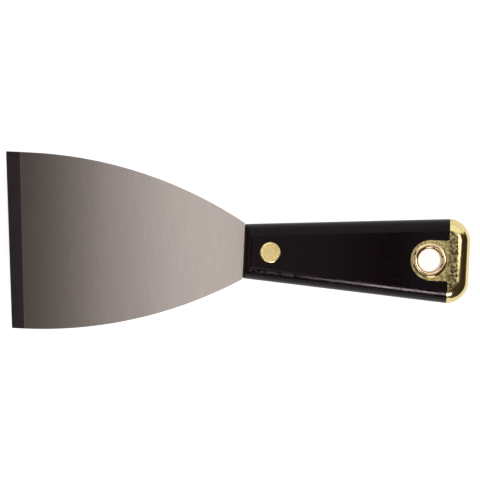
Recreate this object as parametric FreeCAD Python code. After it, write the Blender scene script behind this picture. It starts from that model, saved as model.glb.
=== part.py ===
# Flexible putty knife, in millimetres: a spring-steel blade with a full tang, two moulded handle
# scales, a two-piece compression rivet, a drawn end cap and the eyelet round the hanging hole.
#
# Every piece is worked out in the handle's frame: X is 0 at the handle's front edge and grows
# towards the butt, Y is across the blade, and Z is 0 at the middle of the blade's thickness.
# Export moves the pieces to the part's own frame: origin under the middle of the knife as it lies
# on a table, +X towards the butt, +Z up.

import FreeCAD
import Part
import math
import os

# Blade
blade_width = 76.2
blade_reach = 101.5        # handle's front edge to the middle of the working edge
blade_thickness = 0.9
heel_width = 24.4          # where the blade leaves the handle
straight_side = 7.7        # from the middle of the working edge to where the sides start to flare in
blade_corner_radius = 0.4
edge_skew = 4.7            # degrees off square: the +Y corner leads
edge_thickness = 0.4
grind_length = 5.65        # the ground band's width at the middle of the edge
grind_skew = 4.2           # degrees off square of the band's back line

# Tang
tang_margin = 4.5          # handle's side to the tang's side
tang_corner_radius = 6.0

# Handle, end cap included
handle_length = 97.6
handle_front_width = 23.5
handle_butt_width = 37.8   # before its corners are rounded
handle_thickness = 15.0
butt_corner_radius = 9.6
side_bulge = 5.3           # plan width of the rounded side, from its outermost line to the flat face
nose_bulge = 3.0           # the same at the front
crease_radius = 1.2        # between the rounded side and the flat face
nose_corner_radius = 0.8
seam_bevel = 0.25          # along the edges where the two scales meet

# Moulded detail inside the scales
pin_count = 2              # locating pins, evenly spaced between rivet and eyelet
pin_radius = 1.5
pin_depth = 2.5            # how far a pin enters the lower scale
pin_wall = 2.0             # plastic round a locating pin
core_width = 11.0
core_skin = 2.4            # plastic between a core pocket and the flat face
core_corner_radius = 1.5

# End cap
cap_length = 9.2           # along the handle's side
cap_sheet = 0.8
cap_proud = 0.15           # how far the cap stands out of the scales
tongue_margin = 1.3        # tongue's side to the eyelet's rim
tongue_lag = 0.4           # tongue's round end, behind the hole's centre
tongue_root_radius = 1.0

# Rivet near the blade
rivet_place = 11.5         # behind the handle's front edge
rivet_head_radius = 4.5
rivet_seat_depth = 0.4
rivet_edge_radius = 0.5
rivet_dish_radius = 3.4    # the head's middle is pressed flat inside its rim
rivet_dish_depth = 0.12
rivet_tube_radius = 2.5
rivet_pin_radius = 1.7
rivet_end_gap = 0.6        # left at the end of the tube and at the end of the pin

# Hanging hole and its eyelet
hole_setback = 17.3        # ahead of the butt
hole_radius = 5.0
eyelet_wall = 0.6
roll_radius = 1.25         # section radius of the eyelet's rolled rim

# Fits
head_proud = 0.85          # rivet heads and eyelet rims above the handle's flat faces
fit_gap = 0.05             # between pieces that slide together
seat_gap = 0.1             # round a head or a tongue in its seat
pin_gap = 0.2              # round a locating pin where it passes the tang

# Worked out from the above
vector = FreeCAD.Vector
middle = vector(0, 0, 0)
up = vector(0, 0, 1)
half_thickness = handle_thickness / 2
half_blade = blade_thickness / 2
half_width = blade_width / 2
half_heel = heel_width / 2
skew = math.radians(edge_skew)
taper = math.atan((handle_butt_width - handle_front_width) / 2 / handle_length)
cap_inset = cap_sheet - cap_proud              # handle's surface to the cap's inner face
cap_front = handle_length - cap_length
tongue_top = half_thickness + cap_proud
seat_floor = half_thickness - rivet_seat_depth
rest_height = half_thickness + head_proud      # blade's middle above the table
hole_place = handle_length - hole_setback
tongue_place = hole_place + tongue_lag
barrel_radius = hole_radius + eyelet_wall
roll_height = rest_height - roll_radius        # centre of the eyelet's rolled rim
roll_reach = math.sqrt(roll_radius ** 2 - (tongue_top - roll_height) ** 2)
rim_radius = hole_radius + roll_radius + roll_reach
half_tongue = rim_radius + tongue_margin
pin_pitch = (hole_place - rivet_place) / (pin_count + 1)
pin_places = [rivet_place + pin_pitch * (index + 1) for index in range(pin_count)]
clear = 2 * handle_butt_width                  # further out than any piece of the handle


def outline(*corners):
    """Closed wire through corners (x, y), or (x, y, radius) where the corner is rounded."""
    spots = []
    for index, (x, y, *rounding) in enumerate(corners):
        point = vector(x, y, 0)
        if not rounding:
            spots.append((point,))
            continue
        radius = rounding[0]
        back = (vector(*corners[index - 1][:2], 0) - point).normalize()
        ahead = (vector(*corners[(index + 1) % len(corners)][:2], 0) - point).normalize()
        inward = (back + ahead).normalize()
        half_angle = back.getAngle(ahead) / 2
        reach = radius / math.tan(half_angle)
        bulge = point + inward * (radius / math.sin(half_angle) - radius)
        spots.append((point + back * reach, bulge, point + ahead * reach))
    edges = []
    for spot, following in zip(spots, spots[1:] + spots[:1]):
        if len(spot) == 3:
            edges.append(Part.Arc(*spot).toShape())
        if spot[-1].distanceToPoint(following[0]) > 1e-6:
            edges.append(Part.LineSegment(spot[-1], following[0]).toShape())
    return Part.Wire(edges)


def on_circle(centre, radius, angle):
    return centre + vector(radius * math.cos(angle), radius * math.sin(angle), 0)


def prism(wire, low, high):
    """Solid that carries a wire drawn at height 0 from low to high."""
    face = Part.Face(wire)
    face.translate(up * low)
    return face.extrude(up * (high - low))


def upright(wire):
    """Face of a section drawn with its height along Y, stood up so that Y becomes Z."""
    wire.rotate(middle, vector(1, 0, 0), 90)
    return Part.Face(wire)


def turned(wire, place):
    """Solid of revolution from a half section (radius, height), on the centre line at x = place."""
    solid = upright(wire).revolve(middle, up, 360)
    solid.translate(vector(place, 0, 0))
    return solid


def cylinder(radius, low, high, place):
    return Part.makeCylinder(radius, high - low, vector(place, 0, low))


def upside_down(shape):
    return shape.mirror(middle, up)


def other_side(shape):
    return shape.mirror(middle, vector(0, 1, 0))


def side_y(x, inset=0.0):
    """Y of the handle's +Y side at x, with that side moved in by inset."""
    return handle_front_width / 2 + x * math.tan(taper) - inset / math.cos(taper)


def wall_section(inset, seam, bulge, width):
    """Upper half of the handle's wall, drawn inwards from its outermost line: one arc that stands
    upright at the parting plane, a small crease, then the flat face.

    The surface is moved in by inset, and seam is the bevel at the parting plane."""
    full_radius = (bulge ** 2 + half_thickness ** 2) / (2 * bulge)
    side_centre = vector(full_radius, 0, 0)
    radius = full_radius - inset
    rise = half_thickness - crease_radius
    span = math.sqrt((full_radius - crease_radius) ** 2 - rise ** 2)
    crease_centre = vector(full_radius - span, rise, 0)
    lean = math.atan(span / rise)              # where the crease takes over, off upright

    start_angle = math.asin(seam / radius)
    start = on_circle(side_centre, radius, math.pi - start_angle)
    meet = on_circle(side_centre, radius, math.pi / 2 + lean)
    belly = on_circle(side_centre, radius, math.pi * 3 / 4 + (lean - start_angle) / 2)
    bend = on_circle(crease_centre, crease_radius - inset, math.pi / 2 + lean / 2)
    flat = on_circle(crease_centre, crease_radius - inset, math.pi / 2)
    foot = vector(inset + seam, 0, 0)
    inner = [flat, vector(width, flat.y, 0), vector(width, 0, 0), foot]
    lines = list(zip(inner, inner[1:])) + ([(foot, start)] if seam else [])
    edges = [Part.Arc(start, belly, meet), Part.Arc(meet, bend, flat)]
    edges += [Part.LineSegment(*ends) for ends in lines]
    return Part.Wire(Part.__sortEdges__([edge.toShape() for edge in edges]))


def handle_half(inset=0.0, seam=0.0):
    """Upper half of the handle's outer shape, with its whole surface moved in by inset."""
    axis = vector(handle_length - butt_corner_radius,
                  side_y(handle_length - butt_corner_radius, butt_corner_radius), 0)
    wall = upright(wall_section(inset, seam, side_bulge, butt_corner_radius))
    wall.rotate(middle, up, 180)
    wall.translate(axis + vector(butt_corner_radius, 0, 0))
    turn = math.pi / 2 + taper

    butt = wall.extrude(vector(0, -2 * axis.y, 0))
    corner = wall.revolve(axis, up, math.degrees(turn))
    along = vector(-math.cos(taper), -math.sin(taper), 0)
    side = wall.rotated(axis, up, math.degrees(turn)).extrude(along * handle_length)
    flank = corner.fuse(side)
    front = -cap_proud
    core = prism(outline((front, -side_y(front, butt_corner_radius)), (axis.x, -axis.y), (axis.x, axis.y),
                         (front, side_y(front, butt_corner_radius))), 0, half_thickness - inset)
    form = butt.fuse([flank, other_side(flank), core])

    nose = upright(wall_section(inset, seam, nose_bulge, handle_length + clear))
    nose.translate(vector(0, -clear, 0))
    nose = nose.extrude(vector(0, 2 * clear, 0))
    end = handle_length + clear
    column = prism(outline((inset, -side_y(inset, inset), nose_corner_radius),
                           (end, -side_y(end, inset)), (end, side_y(end, inset)),
                           (inset, side_y(inset, inset), nose_corner_radius)), 0, half_thickness - inset)
    return form.common(nose).common(column).removeSplitter()


def handle_whole(inset):
    half = handle_half(inset)
    return half.fuse(upside_down(half)).removeSplitter()


def cap_column(gap=0.0):
    """Column over the end cap's plan, grown by gap: the butt, and the tongue round the hole."""
    half = half_tongue + gap
    front = cap_front - gap
    root = tongue_root_radius - gap
    end = handle_length + clear
    plan = outline((tongue_place, -half), (front, -half, root), (front, -clear), (end, -clear),
                   (end, clear), (front, clear), (front, half, root), (tongue_place, half))
    column = prism(plan, -handle_thickness, handle_thickness)
    return column.fuse(cylinder(half, -handle_thickness, handle_thickness, tongue_place))


def tang_plan(gap=0.0, lead=0.0, lag=0.0):
    """Outline of the tang, grown by gap at its sides, lead at the front and lag at the end."""
    end = handle_length - cap_inset - fit_gap + lag
    inset = tang_margin - gap
    return outline((-lead, -side_y(-lead, inset)), (end, -side_y(end, inset), tang_corner_radius),
                   (end, side_y(end, inset), tang_corner_radius), (-lead, side_y(-lead, inset)))


def make_blade():
    """Flared blade and full tang in one sheet, ground thin at the working edge on both faces."""
    flare_start = straight_side - blade_reach
    drop = half_width - half_heel
    flare_radius = (flare_start ** 2 + drop ** 2) / (2 * drop)

    def flare(x):
        """Half the blade's width at x, on the arc that is tangent to the straight side."""
        return half_width - flare_radius + math.sqrt(flare_radius ** 2 - (x - flare_start) ** 2)

    def side(sign):
        """Corner by the working edge, start and end of the flare, and a point half way along it."""
        return [vector(-blade_reach - sign * half_width * math.tan(skew), sign * half_width, 0),
                vector(flare_start, sign * half_width, 0),
                vector(0, sign * half_heel, 0),
                vector(flare_start / 2, sign * flare(flare_start / 2), 0)]

    sides = [side(1), side(-1)]
    edges = [Part.LineSegment(sides[0][0], sides[1][0]), Part.LineSegment(sides[0][2], sides[1][2])]
    for corner, start, heel, bow in sides:
        edges += [Part.LineSegment(corner, start), Part.Arc(start, bow, heel)]
    plan = Part.Wire(Part.__sortEdges__([edge.toShape() for edge in edges]))
    sheet = prism(plan, -half_blade, half_blade)
    tips = [edge for edge in sheet.Edges
            if edge.BoundBox.XMax < flare_start - 1 and edge.BoundBox.ZLength > blade_thickness / 2]
    sheet = sheet.makeFillet(blade_corner_radius, tips)

    fall = (blade_thickness - edge_thickness) / 2 / grind_length
    reach = 3 * grind_length
    grind = upright(outline((0, 0), (-reach, -reach * fall), (-reach, reach), (0, reach)))
    grind.translate(vector(0, -blade_width, 0))
    grind = grind.extrude(vector(0, 2 * blade_width, 0))
    grind.rotate(middle, up, grind_skew)
    grind.translate(vector(grind_length - blade_reach, 0, half_blade))
    sheet = sheet.cut(grind).cut(upside_down(grind))

    blade = sheet.fuse(prism(tang_plan(), -half_blade, half_blade)).removeSplitter()
    holes = [cylinder(rivet_tube_radius + fit_gap, -half_blade, half_blade, rivet_place),
             cylinder(barrel_radius + fit_gap, -half_blade, half_blade, hole_place)]
    holes += [cylinder(pin_radius + pin_gap, -half_blade, half_blade, place) for place in pin_places]
    return blade.cut(holes)


def core_pockets():
    """Hollows moulded into a scale above the tang, one between each pair of neighbouring bosses."""
    bosses = [(rivet_place, rivet_head_radius)]
    bosses += [(place, pin_radius + pin_wall) for place in pin_places]
    bosses += [(tongue_place, half_tongue)]
    pockets = []
    for (place, radius), (next_place, next_radius) in zip(bosses, bosses[1:]):
        front, back = place + radius, next_place - next_radius
        corners = [(x, y, core_corner_radius) for x, y in
                   ((front, -core_width / 2), (back, -core_width / 2),
                    (back, core_width / 2), (front, core_width / 2))]
        pockets.append(prism(outline(*corners), 0, half_thickness - core_skin))
    return pockets


def scale_half():
    """One moulded scale as an upper half, before its locating pins or their sockets."""
    seat = cap_column(seat_gap)
    tail = handle_half(cap_inset + fit_gap).common(seat)
    scale = handle_half(0.0, seam_bevel).cut(seat).fuse(tail).removeSplitter()
    pocket = prism(tang_plan(fit_gap, fit_gap, clear), -half_blade, half_blade)
    return scale.cut([
        pocket,
        *core_pockets(),
        cylinder(rivet_tube_radius + fit_gap, 0, half_thickness, rivet_place),
        cylinder(rivet_head_radius + seat_gap, seat_floor, half_thickness, rivet_place),
        cylinder(barrel_radius + fit_gap, 0, half_thickness, hole_place),
    ])


def make_upper_scale():
    """Upper scale, with locating pins that pass the tang and enter the lower scale."""
    pins = [cylinder(pin_radius, -half_blade - pin_depth, half_thickness - core_skin, place)
            for place in pin_places]
    return scale_half().fuse(pins).removeSplitter()


def make_lower_scale():
    """Lower scale, with a socket for each locating pin."""
    floor = -half_blade - pin_depth - rivet_end_gap
    sockets = [cylinder(pin_radius + fit_gap, floor, 0, place) for place in pin_places]
    return upside_down(scale_half()).cut(sockets)


def make_end_cap():
    """Cup drawn from sheet over the butt, with a tongue on each face under the eyelet's rims."""
    shell = handle_whole(-cap_proud).cut(handle_whole(cap_inset)).common(cap_column())
    return shell.cut(cylinder(barrel_radius + fit_gap, -handle_thickness, handle_thickness, hole_place))


def rivet_head():
    """Round head on the upper face, its edge rounded and its middle pressed flat."""
    top = rest_height
    return turned(outline((0, seat_floor), (rivet_head_radius, seat_floor),
                          (rivet_head_radius, top, rivet_edge_radius),
                          (rivet_dish_radius, top), (rivet_dish_radius, top - rivet_dish_depth),
                          (0, top - rivet_dish_depth)), rivet_place)


def make_rivet_post():
    """Upper half of the rivet: its solid pin is driven into the tube."""
    pin = cylinder(rivet_pin_radius, 2 * rivet_end_gap - seat_floor, seat_floor, rivet_place)
    return rivet_head().fuse(pin).removeSplitter()


def make_rivet_socket():
    """Lower half of the rivet: its tube grips the pin."""
    tube = cylinder(rivet_tube_radius, -seat_floor, seat_floor - rivet_end_gap, rivet_place)
    bore = cylinder(rivet_pin_radius, rivet_end_gap - seat_floor, half_thickness, rivet_place)
    return upside_down(rivet_head()).fuse(tube).removeSplitter().cut(bore)


def make_hang_eyelet():
    """Tube through both tongues, its ends rolled over onto them."""
    barrel = turned(outline((hole_radius, -roll_height), (barrel_radius, -roll_height),
                            (barrel_radius, roll_height), (hole_radius, roll_height)), hole_place)
    crest = vector(hole_radius + roll_radius, roll_height, 0)
    rise = Part.Arc(vector(hole_radius, roll_height, 0), crest + vector(0, roll_radius, 0),
                    vector(rim_radius, tongue_top, 0)).toShape()
    corners = [vector(rim_radius, tongue_top, 0), vector(barrel_radius, tongue_top, 0),
               vector(barrel_radius, roll_height, 0), vector(hole_radius, roll_height, 0)]
    sides = [Part.LineSegment(*pair).toShape() for pair in zip(corners, corners[1:])]
    rim = turned(Part.Wire([rise, *sides]), hole_place)
    return barrel.fuse([rim, upside_down(rim)]).removeSplitter()


butt_x = handle_length + cap_proud
lead_x = -blade_reach - (half_width - blade_corner_radius) * math.tan(skew)
lead_x += blade_corner_radius / math.cos(skew) - blade_corner_radius
to_origin = vector(-(lead_x + butt_x) / 2, 0, rest_height)

pieces = {
    "blade": make_blade,
    "upper_scale": make_upper_scale,
    "lower_scale": make_lower_scale,
    "rivet_post": make_rivet_post,
    "rivet_socket": make_rivet_socket,
    "end_cap": make_end_cap,
    "hang_eyelet": make_hang_eyelet,
}

os.makedirs("parts", exist_ok=True)
for name, make in pieces.items():
    shape = make()
    shape.translate(to_origin)
    shape.exportStep(f"parts/{name}.step")
    print(f"{name}: solids {len(shape.Solids)}, valid {shape.isValid()}, volume {shape.Volume:.1f} mm3")
print(f"hanging hole at x = {hole_place + to_origin.x:.3f}, rivet at x = {rivet_place + to_origin.x:.3f}")
print(f"butt face at x = {butt_x + to_origin.x:.3f}, blade's middle at z = {rest_height:.3f}")
print(f"eyelet's straight wall: {2 * roll_height:.3f} mm long")
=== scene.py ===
# Flexible putty knife: finishes, plain studio light and the camera, round the fixed CAD frame.
import bpy
import math
from mathutils import Matrix, Vector


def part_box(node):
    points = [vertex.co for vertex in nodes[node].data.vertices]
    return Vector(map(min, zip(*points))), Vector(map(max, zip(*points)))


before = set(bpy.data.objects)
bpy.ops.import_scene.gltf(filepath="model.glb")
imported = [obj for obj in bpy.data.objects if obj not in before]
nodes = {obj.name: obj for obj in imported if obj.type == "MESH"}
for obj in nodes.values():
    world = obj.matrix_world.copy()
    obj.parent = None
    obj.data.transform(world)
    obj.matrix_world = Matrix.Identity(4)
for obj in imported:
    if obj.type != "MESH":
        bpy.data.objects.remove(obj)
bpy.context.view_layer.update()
mm = 0.001
print("frame loaded")


# Shader helpers

def toLinear(hexColour):
    values = [int(hexColour[i:i + 2], 16) / 255 for i in (1, 3, 5)]
    return [v / 12.92 if v <= 0.04045 else ((v + 0.055) / 1.055) ** 2.4 for v in values] + [1.0]


def addNode(tree, kind, inputs=None, **settings):
    # inputs maps a socket's name or number to a value, or to the socket that feeds it
    node = tree.nodes.new(kind)
    for name, value in settings.items():
        setattr(node, name, value)
    for socket, source in (inputs or {}).items():
        if isinstance(source, bpy.types.NodeSocket):
            tree.links.new(source, node.inputs[socket])
        else:
            node.inputs[socket].default_value = source
    return node


def startMaterial(name):
    material = bpy.data.materials.new(name)
    material.use_nodes = True
    material.node_tree.nodes.clear()
    return material, material.node_tree


def finishMaterial(tree, surface):
    addNode(tree, "ShaderNodeOutputMaterial", {"Surface": surface})


def finishPiece(name, material):
    for slot in nodes[name].material_slots:
        slot.material = material


# Blade: hardened carbon spring steel, belt-polished across its length and ground at the working edge.
# The belt lines stretch reflections along the blade, so it shades softly from light to dark grey, with
# painted shade towards the tip; the grind is a darker, cooler band, partly painted shade, with a painted
# highlight on its crest.

bladeLook = {
    "steel": "#CBC1BA",
    # the grind's colour is partly its own duller finish and partly painted shade
    "groundSteelAndShade": "#767177",
    "groundWidth": 5.65,       # mm, at the middle of the edge
    "groundSkew": 4.2,         # degrees off square
    "groundBlend": 0.05,       # mm, half the width over which the grind begins
    "edgeSkew": 4.7,           # degrees off square
    "groundRoughness": 0.30,
    "heelRoughness": 0.325,
    "tipRoughness": 0.277,     # the belt leaves the thin end smoother
    "tipPaintedShade": 0.65,          # and its colour carries painted shade, the part of it that is left there
    "tipUntil": 5.0,           # mm from the foremost corner, where the tip's values begin to change
    "heelFrom": 45.0,          # mm from it, where they have become the heel's
    "crestPaintedHighlight": 1.4,         # painted highlight on the crest above the grind, and the grind's colour is lightened as much
    "crestWidth": 0.6,         # mm
    "anisotropy": 0.5,
    "lineSpacing": 0.6,        # mm; belt scratches are finer, drawn coarse enough for a render to show
    "lineLength": 12.0,        # mm
    "lineDepth": 0.0004,       # mm
    "lineShade": 0.10,         # the part of the colour that the lines take away
    "lineValues": (0.3, 0.7),  # the noise from the bottom of a line to its top
}


def makeBladeSteel():
    look = bladeLook
    material, tree = startMaterial("belt_polished_spring_steel")
    place = addNode(tree, "ShaderNodeTexCoord").outputs["Object"]
    axes = addNode(tree, "ShaderNodeSeparateXYZ", {0: place}).outputs
    low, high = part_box("blade")

    lines = addNode(tree, "ShaderNodeMapping", {
        "Vector": place,
        "Scale": (1 / (look["lineSpacing"] * mm), 1 / (look["lineLength"] * mm), 1.0)})
    scratch = addNode(tree, "ShaderNodeTexNoise", {
        "Vector": lines.outputs["Vector"], "Scale": 1.0, "Detail": 3.0, "Roughness": 0.6})
    bump = addNode(tree, "ShaderNodeBump", {
        "Height": scratch.outputs[0], "Distance": look["lineDepth"] * mm})

    # the grind ends on a line across the blade, a few degrees off square
    tilt = math.tan(math.radians(look["groundSkew"]))
    along = addNode(tree, "ShaderNodeVectorMath", {
        0: place, 1: (1.0, tilt, 0.0)}, operation="DOT_PRODUCT")
    middleEdge = low.x + high.y * math.tan(math.radians(look["edgeSkew"]))
    groundEnd = middleEdge + look["groundWidth"] * mm
    blend = look["groundBlend"] * mm
    ground = addNode(tree, "ShaderNodeMapRange", {
        "Value": along.outputs["Value"], "From Min": groundEnd - blend, "From Max": groundEnd + blend,
        "To Min": 1.0, "To Max": 0.0})
    # painted highlight: the colour is lightened along the crest above the grind, and over the grind
    # itself
    crest = addNode(tree, "ShaderNodeMapRange", {
        "Value": along.outputs["Value"], "From Min": groundEnd,
        "From Max": groundEnd + look["crestWidth"] * mm, "To Min": look["crestPaintedHighlight"], "To Max": 1.0})

    tipUntil = low.x + look["tipUntil"] * mm
    heelFrom = low.x + look["heelFrom"] * mm
    # painted shade: the steel's colour darkens towards the tip
    tip = addNode(tree, "ShaderNodeMapRange", {
        "Value": axes["X"], "From Min": tipUntil, "From Max": heelFrom,
        "To Min": look["tipPaintedShade"], "To Max": 1.0})
    taper = addNode(tree, "ShaderNodeMapRange", {
        "Value": axes["X"], "From Min": tipUntil, "From Max": heelFrom,
        "To Min": look["tipRoughness"], "To Max": look["heelRoughness"]})
    roughness = addNode(tree, "ShaderNodeMix", {
        0: ground.outputs[0], 2: taper.outputs[0], 3: look["groundRoughness"]})

    # the grind's darker colour is partly painted shade
    plain = addNode(tree, "ShaderNodeMix", {
        0: ground.outputs[0], 6: toLinear(look["steel"]), 7: toLinear(look["groundSteelAndShade"])},
        data_type="RGBA")
    lineLow, lineHigh = look["lineValues"]
    shade = addNode(tree, "ShaderNodeMapRange", {
        "Value": scratch.outputs[0], "From Min": lineLow, "From Max": lineHigh,
        "To Min": 1 - look["lineShade"], "To Max": 1.0})
    for part in (tip, crest):
        shade = addNode(tree, "ShaderNodeMath", {
            0: shade.outputs[0], 1: part.outputs[0]}, operation="MULTIPLY")
    colour = addNode(tree, "ShaderNodeVectorMath", {
        0: plain.outputs[2], "Scale": shade.outputs[0]}, operation="SCALE")

    steel = addNode(tree, "ShaderNodeBsdfPrincipled", {
        "Base Color": colour.outputs[0], "Metallic": 1.0, "Roughness": roughness.outputs[0],
        "Anisotropic": look["anisotropy"], "Normal": bump.outputs["Normal"],
        "Tangent": addNode(tree, "ShaderNodeCombineXYZ", {"X": 1.0}).outputs[0]})
    finishMaterial(tree, steel.outputs[0])
    return material


# Handle scales: black glass-filled nylon, moulded in a polished tool.
# It looks almost black, with clean reflections that break up only along the rounded sides.

nylonLook = {
    "black": "#0C0608",
    "roughness": 0.10,
    "faceRoughness": 0.15,     # the spots on the flat faces, hardly worn
    "scuffRoughness": 0.26,    # and on the rounded sides, where they break up the light
    "spotValues": (0.42, 0.62),    # the noise from clean skin to the middle of a worn spot
    "faceTurn": (0.96, 0.99),  # the upright part of the normal, from a rounded side to a flat face
    "specular": 0.165,         # glass filling and mould release dull the skin
    "glossTint": "#FFE8EE",    # and leave its gloss a little warm
    "waviness": 1.6,           # mm, the slight sink that moulded plastic shows
    "waveDepth": 0.02,         # mm
    "waveStrength": 0.35,
    "grain": 0.35,             # mm
    "grainDepth": 0.004,       # mm
    "grainStrength": 0.3,
}


def makeNylon():
    look = nylonLook
    material, tree = startMaterial("moulded_black_nylon")
    place = addNode(tree, "ShaderNodeTexCoord").outputs["Object"]
    wave = addNode(tree, "ShaderNodeTexNoise", {
        "Vector": place, "Scale": 1 / (look["waviness"] * mm), "Detail": 2.0})
    grain = addNode(tree, "ShaderNodeTexNoise", {
        "Vector": place, "Scale": 1 / (look["grain"] * mm), "Detail": 2.0})
    bump = addNode(tree, "ShaderNodeBump", {
        "Height": wave.outputs[0], "Strength": look["waveStrength"], "Distance": look["waveDepth"] * mm})
    fine = addNode(tree, "ShaderNodeBump", {
        "Height": grain.outputs[0], "Strength": look["grainStrength"],
        "Distance": look["grainDepth"] * mm, "Normal": bump.outputs[0]})

    normal = addNode(tree, "ShaderNodeNewGeometry").outputs["Normal"]
    upright = addNode(tree, "ShaderNodeSeparateXYZ", {0: normal}).outputs["Z"]
    flatness = addNode(tree, "ShaderNodeMath", {0: upright}, operation="ABSOLUTE")
    sideEnd, faceStart = look["faceTurn"]
    worn = addNode(tree, "ShaderNodeMapRange", {
        "Value": flatness.outputs[0], "From Min": sideEnd, "From Max": faceStart,
        "To Min": look["scuffRoughness"], "To Max": look["faceRoughness"]})
    cleanSkin, wornSpot = look["spotValues"]
    rough = addNode(tree, "ShaderNodeMapRange", {
        "Value": wave.outputs[0], "From Min": cleanSkin, "From Max": wornSpot,
        "To Min": look["roughness"], "To Max": worn.outputs[0]})

    nylon = addNode(tree, "ShaderNodeBsdfPrincipled", {
        "Base Color": toLinear(look["black"]), "Roughness": rough.outputs[0], "IOR": 1.5,
        "Specular IOR Level": look["specular"], "Specular Tint": toLinear(look["glossTint"]),
        "Normal": fine.outputs[0]})
    finishMaterial(tree, nylon.outputs[0])
    return material


# End cap: deep-drawn brass, bright dipped and buffed.
# Its rounded edges are mirrors, and the flat band that the buff misses is mottled and dull.

capLook = {
    "brass": "#F9E6A2",
    "dullBrass": "#6E6340",
    "roughness": 0.13,
    "dullRoughness": 0.24,
    "edgeRadius": 0.2,         # mm, the rolled edge of the sheet
    "dents": 2.4,              # mm, the spread of the shallow dents that the press leaves
    "dentDepth": 0.05,         # mm
    "orangePeel": 1.3,         # mm
    "peelDepth": 0.012,        # mm
    "peelValues": (0.40, 0.58),    # the noise from bright brass to the middle of a dull blotch
    "flatDepth": 0.35,         # mm; dents and blotches lie no deeper than this below the faces
    "fullDepth": 0.05,         # mm below the faces, where they reach their full strength
    "dullLength": 9.2,         # mm from the butt, the band that the buff misses
    "dullBlend": 1.0,          # mm, half the width over which the band ends
    "tongueDull": 0.4,         # the part of the dullness that is left on the tongue
}


def makeCapBrass():
    look = capLook
    material, tree = startMaterial("buffed_drawn_brass")
    place = addNode(tree, "ShaderNodeTexCoord").outputs["Object"]
    axes = addNode(tree, "ShaderNodeSeparateXYZ", {0: place}).outputs
    low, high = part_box("end_cap")
    middle = (low.z + high.z) / 2
    half = (high.z - low.z) / 2

    dents = addNode(tree, "ShaderNodeTexNoise", {
        "Vector": place, "Scale": 1 / (look["dents"] * mm), "Detail": 2.0})
    peel = addNode(tree, "ShaderNodeTexNoise", {
        "Vector": place, "Scale": 1 / (look["orangePeel"] * mm), "Detail": 3.0, "Roughness": 0.6})

    fromMiddle = addNode(tree, "ShaderNodeMath", {0: axes["Z"], 1: middle}, operation="SUBTRACT")
    height = addNode(tree, "ShaderNodeMath", {0: fromMiddle.outputs[0]}, operation="ABSOLUTE")
    flat = addNode(tree, "ShaderNodeMapRange", {
        "Value": height.outputs[0], "From Min": half - look["flatDepth"] * mm,
        "From Max": half - look["fullDepth"] * mm}, interpolation_type="SMOOTHSTEP")
    band = addNode(tree, "ShaderNodeMapRange", {
        "Value": axes["X"], "From Min": high.x - (look["dullLength"] + look["dullBlend"]) * mm,
        "From Max": high.x - (look["dullLength"] - look["dullBlend"]) * mm,
        "To Min": look["tongueDull"], "To Max": 1.0}, interpolation_type="SMOOTHSTEP")
    bright, blotched = look["peelValues"]
    dull = addNode(tree, "ShaderNodeMapRange", {
        "Value": peel.outputs[0], "From Min": bright, "From Max": blotched})
    for part in (flat, band):
        dull = addNode(tree, "ShaderNodeMath", {
            0: dull.outputs[0], 1: part.outputs[0]}, operation="MULTIPLY")
    colour = addNode(tree, "ShaderNodeMix", {
        0: dull.outputs[0], 6: toLinear(look["brass"]), 7: toLinear(look["dullBrass"])},
        data_type="RGBA")
    rough = addNode(tree, "ShaderNodeMix", {
        0: dull.outputs[0], 2: look["roughness"], 3: look["dullRoughness"]})

    edge = addNode(tree, "ShaderNodeBevel", {"Radius": look["edgeRadius"] * mm}, samples=6)
    hollow = addNode(tree, "ShaderNodeBump", {
        "Height": dents.outputs[0], "Strength": flat.outputs[0], "Distance": look["dentDepth"] * mm,
        "Normal": edge.outputs[0]})
    skin = addNode(tree, "ShaderNodeBump", {
        "Height": peel.outputs[0], "Distance": look["peelDepth"] * mm, "Normal": hollow.outputs[0]})
    brass = addNode(tree, "ShaderNodeBsdfPrincipled", {
        "Base Color": colour.outputs[2], "Metallic": 1.0, "Roughness": rough.outputs[0],
        "Normal": skin.outputs[0]})
    finishMaterial(tree, brass.outputs[0])
    return material


# Eyelet: a redder brass tube, rolled over at both ends.
# The roll is bright, with reflections that ripple a little where the tube stretched.

eyeletLook = {
    "brass": "#FBE0B0",
    "roughness": 0.12,
    "ripple": 2.5,             # mm
    "rippleDepth": 0.012,      # mm
}


def makeEyeletBrass():
    look = eyeletLook
    material, tree = startMaterial("rolled_red_brass")
    place = addNode(tree, "ShaderNodeTexCoord").outputs["Object"]
    ripple = addNode(tree, "ShaderNodeTexNoise", {
        "Vector": place, "Scale": 1 / (look["ripple"] * mm), "Detail": 2.0})
    bump = addNode(tree, "ShaderNodeBump", {
        "Height": ripple.outputs[0], "Distance": look["rippleDepth"] * mm})
    brass = addNode(tree, "ShaderNodeBsdfPrincipled", {
        "Base Color": toLinear(look["brass"]), "Metallic": 1.0, "Roughness": look["roughness"],
        "Normal": bump.outputs[0]})
    finishMaterial(tree, brass.outputs[0])
    return material


# Rivet: cold-headed brass. Its middle is matt and grainy from the punch, its rim burnished and brighter.

rivetLook = {
    "brass": "#FFE6A2",
    "rimRoughness": 0.22,
    "middleRoughness": 0.42,
    "middleRadius": 3.4,       # mm
    "middleBlend": 0.15,       # mm, half the width over which the rim begins
    "grain": 0.7,              # mm, twice as coarse as the punch leaves it, so that it shows
    "grainDepth": 0.012,       # mm
    "grainShade": 0.20,        # the part of the colour that the grain takes away
    "grainValues": (0.35, 0.65),   # the noise from the bottom of the grain to its top
}


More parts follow.
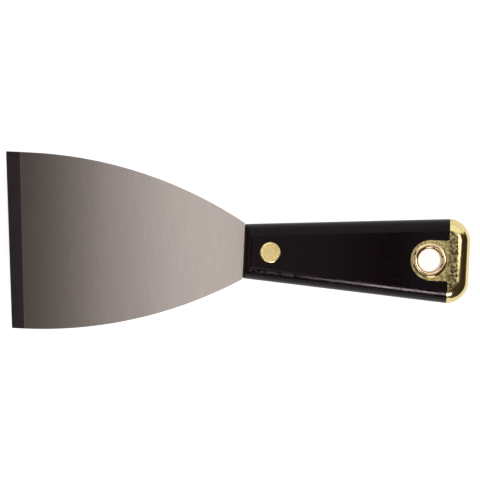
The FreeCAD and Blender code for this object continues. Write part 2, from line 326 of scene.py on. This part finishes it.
def makeRivetBrass():
    look = rivetLook
    material, tree = startMaterial("headed_rivet_brass")
    place = addNode(tree, "ShaderNodeTexCoord").outputs["Object"]
    low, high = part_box("rivet_post")
    centre = (low + high) / 2
    away = addNode(tree, "ShaderNodeVectorMath", {0: place, 1: (-centre.x, -centre.y, 0)})
    flat = addNode(tree, "ShaderNodeVectorMath", {
        0: away.outputs[0], 1: (1, 1, 0)}, operation="MULTIPLY")
    radius = addNode(tree, "ShaderNodeVectorMath", {0: flat.outputs[0]}, operation="LENGTH")
    rough = addNode(tree, "ShaderNodeMapRange", {
        "Value": radius.outputs["Value"],
        "From Min": (look["middleRadius"] - look["middleBlend"]) * mm,
        "From Max": (look["middleRadius"] + look["middleBlend"]) * mm,
        "To Min": look["middleRoughness"], "To Max": look["rimRoughness"]})

    grain = addNode(tree, "ShaderNodeTexNoise", {
        "Vector": place, "Scale": 1 / (look["grain"] * mm), "Detail": 2.0})
    bump = addNode(tree, "ShaderNodeBump", {
        "Height": grain.outputs[0], "Distance": look["grainDepth"] * mm})
    grainLow, grainHigh = look["grainValues"]
    shade = addNode(tree, "ShaderNodeMapRange", {
        "Value": grain.outputs[0], "From Min": grainLow, "From Max": grainHigh,
        "To Min": 1 - look["grainShade"], "To Max": 1.0})
    colour = addNode(tree, "ShaderNodeVectorMath", {
        0: toLinear(look["brass"])[:3], "Scale": shade.outputs[0]}, operation="SCALE")

    brass = addNode(tree, "ShaderNodeBsdfPrincipled", {
        "Base Color": colour.outputs[0], "Metallic": 1.0, "Roughness": rough.outputs[0],
        "Normal": bump.outputs[0]})
    finishMaterial(tree, brass.outputs[0])
    return material


finishPiece("blade", makeBladeSteel())
nylon = makeNylon()
finishPiece("upper_scale", nylon)
finishPiece("lower_scale", nylon)
finishPiece("end_cap", makeCapBrass())
finishPiece("hang_eyelet", makeEyeletBrass())
rivetBrass = makeRivetBrass()
finishPiece("rivet_post", rivetBrass)
finishPiece("rivet_socket", rivetBrass)
print("finishes done")


# Camera: almost straight above, turned a little about its axis

cameraPlan = {
    "frameWidth": 207.46,      # mm across the frame at the knife's middle height
    "distance": 2000.0,        # mm
    "aim": (1.66, 4.70, 8.35),     # mm
    "roll": 2.8,               # degrees
    "lean": 0.5,               # degrees towards +Y
    "sensor": 36.0,            # mm
    "clip": (0.05, 50),        # m
}


def addCamera():
    plan = cameraPlan
    roll, lean = math.radians(plan["roll"]), math.radians(plan["lean"])
    right = Vector((math.cos(roll), math.sin(roll), 0))
    up = Vector((-math.sin(roll), math.cos(roll), 0))
    back = Vector((0, 0, 1)) * math.cos(lean) + up * math.sin(lean)
    top = back.cross(right)
    camera = bpy.data.objects.new("camera", bpy.data.cameras.new("camera"))
    bpy.context.scene.collection.objects.link(camera)
    turn = Matrix((right, top, back)).transposed().to_4x4()
    aim = Vector(plan["aim"]) * mm
    camera.matrix_world = Matrix.Translation(aim + back * plan["distance"] * mm) @ turn
    camera.data.sensor_width = plan["sensor"]
    camera.data.lens = plan["sensor"] * plan["distance"] / plan["frameWidth"]
    camera.data.clip_start, camera.data.clip_end = plan["clip"]
    bpy.context.scene.camera = camera


addCamera()
print("camera done")


# Studio, in metres: white paper floor, a dark dome with a bright far side, and area lamps.
# A flag and a net, both black, shade the brass.

floorPlan = {
    "paper": "#B4B4B4",
    "half": 8.0,
    "drop": 0.02 * mm,         # just below the knife's lowest points
    "seenGlow": 0.9,           # makes the paper white to the camera
    "glossGlow": 0.45,         # and pale in the metal's reflections
}

flagPlan = {
    "felt": "#50484A",
    "x": 0.130,
    "near": -0.15,
    "farBottom": 0.036,
    "farTop": 0.020,
    "top": 0.025,
}

netPlan = {
    "passes": 0.16,            # the part of the light that comes through
    "y": -0.0112,
    "left": 0.070,
    "right": 0.0925,
    "bottom": 0.0163,
    "top": 0.027,
}

domePlan = {
    "dark": (0.05, 0.030, 0.028, 1),
    "bright": (0.95, 0.95, 0.95, 1),
    "farSide": (0.46, 0.60),   # a ray's part towards +Y, from dark to bright
    "skyline": (0.0, 0.03),    # a ray's upward part, from bright to dark
}

# a lamp with no aim faces straight down
lampPlan = {
    "heel_strip": {            # the light patch on the blade's heel
        "place": (-0.0155, 0.0, 0.23), "size": (0.015, 0.5), "radiance": 4.6, "turn": 7.0},
    "handle_card": {           # these three grey the handle's face, less so near the butt
        "place": (0.021, 0.0, 0.35), "size": (0.061, 0.5), "radiance": 0.60},
    "middle_card": {
        "place": (0.061, 0.0, 0.35), "size": (0.019, 0.5), "radiance": 0.30},
    "tongue_card": {           # and this one lights the cap's tongue
        "place": (0.099, 0.0, 0.35), "size": (0.023, 0.5), "radiance": 0.66},
    "butt_softbox": {          # the pale line on the cap's crease
        "place": (0.24, 0.05, 0.20), "size": (0.14, 0.17), "radiance": 2.4, "aim": (0.095, 0.0, 0.01)},
    "blade_end_card": {        # the eyelet's side towards the blade
        "place": (-0.6, 0.0, 0.12), "size": (0.4, 0.18), "radiance": 1.2, "aim": (0.0, 0.0, 0.015)},
    "low_side_lamp": {         # the line of light along the handle's near side
        "place": (0.205, -0.75, 0.382), "size": (0.39, 0.16), "radiance": 25.0, "aim": (0.205, 0, 0.01)},
}


def addPlane(name, corners, material):
    mesh = bpy.data.meshes.new(name)
    mesh.from_pydata(corners, [], [(0, 1, 2, 3)])
    mesh.materials.append(material)
    plane = bpy.data.objects.new(name, mesh)
    bpy.context.scene.collection.objects.link(plane)
    return plane


def addFloor():
    plan = floorPlan
    material, tree = startMaterial("white_studio_paper")
    path = addNode(tree, "ShaderNodeLightPath").outputs
    seen = addNode(tree, "ShaderNodeMath", {
        0: path["Is Camera Ray"], 1: path["Is Transmission Ray"]}, operation="MAXIMUM")
    direct = addNode(tree, "ShaderNodeMath", {
        0: seen.outputs[0], 1: plan["seenGlow"]}, operation="MULTIPLY")
    glow = addNode(tree, "ShaderNodeMath", {
        0: path["Is Glossy Ray"], 1: plan["glossGlow"], 2: direct.outputs[0]}, operation="MULTIPLY_ADD")
    paper = addNode(tree, "ShaderNodeBsdfDiffuse", {"Color": toLinear(plan["paper"])})
    light = addNode(tree, "ShaderNodeEmission", {"Color": (1, 1, 1, 1), "Strength": glow.outputs[0]})
    both = addNode(tree, "ShaderNodeAddShader", {0: paper.outputs[0], 1: light.outputs[0]})
    finishMaterial(tree, both.outputs[0])
    half = plan["half"]
    corners = [(-half, -half, 0), (half, -half, 0), (half, half, 0), (-half, half, 0)]
    floor = addPlane("floor", corners, material)
    floor.location.z = -plan["drop"]


def addFlag():
    # beyond the butt, seen only in reflections: it draws the dark line along the cap
    plan = flagPlan
    material, tree = startMaterial("black_felt")
    felt = addNode(tree, "ShaderNodeBsdfDiffuse", {"Color": toLinear(plan["felt"])})
    finishMaterial(tree, felt.outputs[0])
    x, near, top = plan["x"], plan["near"], plan["top"]
    corners = [(x, near, 0), (x, plan["farBottom"], 0), (x, plan["farTop"], top), (x, near, top)]
    flag = addPlane("black_flag", corners, material)
    flag.visible_camera = flag.visible_diffuse = flag.visible_shadow = False


def addNet():
    # close to the hanging hole, where it takes the low lamp's glare off the eyelet
    plan = netPlan
    material, tree = startMaterial("black_net")
    passes = plan["passes"]
    netting = addNode(tree, "ShaderNodeBsdfTransparent", {"Color": (passes, passes, passes, 1)})
    finishMaterial(tree, netting.outputs[0])
    y, left, right, bottom, top = (plan[side] for side in ("y", "left", "right", "bottom", "top"))
    corners = [(left, y, bottom), (right, y, bottom), (right, y, top), (left, y, top)]
    net = addPlane("black_net", corners, material)
    net.visible_camera = net.visible_diffuse = False


def addLamp(name, place, size, radiance, aim=None, turn=0.0):
    # radiance 1 is as bright in a reflection as white paper; turn is in degrees about the lamp's axis
    data = bpy.data.lights.new(name, "AREA")
    data.shape = "RECTANGLE"
    data.size, data.size_y = size
    data.energy = radiance * math.pi * size[0] * size[1]
    lamp = bpy.data.objects.new(name, data)
    bpy.context.scene.collection.objects.link(lamp)
    lamp.location = place
    target = aim or (place[0], place[1], 0)
    facing = (Vector(target) - Vector(place)).to_track_quat("-Z", "Y").to_matrix()
    lamp.rotation_euler = (facing @ Matrix.Rotation(math.radians(turn), 3, "Z")).to_euler()
    lamp.visible_camera = False


def addDome():
    plan = domePlan
    world = bpy.data.worlds.new("studio_dome")
    bpy.context.scene.world = world
    world.use_nodes = True
    tree = world.node_tree
    tree.nodes.clear()
    ray = addNode(tree, "ShaderNodeTexCoord").outputs["Generated"]
    axes = addNode(tree, "ShaderNodeSeparateXYZ", {0: ray}).outputs
    darkUntil, brightFrom = plan["farSide"]
    towardsFar = addNode(tree, "ShaderNodeMapRange", {
        "Value": axes["Y"], "From Min": darkUntil, "From Max": brightFrom,
        "To Min": 0.0, "To Max": 1.0}, interpolation_type="SMOOTHSTEP")
    brightUntil, darkFrom = plan["skyline"]
    lowDown = addNode(tree, "ShaderNodeMapRange", {
        "Value": axes["Z"], "From Min": brightUntil, "From Max": darkFrom,
        "To Min": 1.0, "To Max": 0.0}, interpolation_type="SMOOTHSTEP")
    wall = addNode(tree, "ShaderNodeMath", {
        0: towardsFar.outputs[0], 1: lowDown.outputs[0]}, operation="MAXIMUM")
    colour = addNode(tree, "ShaderNodeMix", {
        0: wall.outputs[0], 6: plan["dark"], 7: plan["bright"]}, data_type="RGBA")
    shade = addNode(tree, "ShaderNodeBackground", {"Color": colour.outputs[2]})
    addNode(tree, "ShaderNodeOutputWorld", {"Surface": shade.outputs[0]})


addFloor()
addDome()
addFlag()
addNet()
for lampName, plan in lampPlan.items():
    addLamp(lampName, **plan)
bpy.context.scene.view_settings.view_transform = "Standard"
print("studio done")
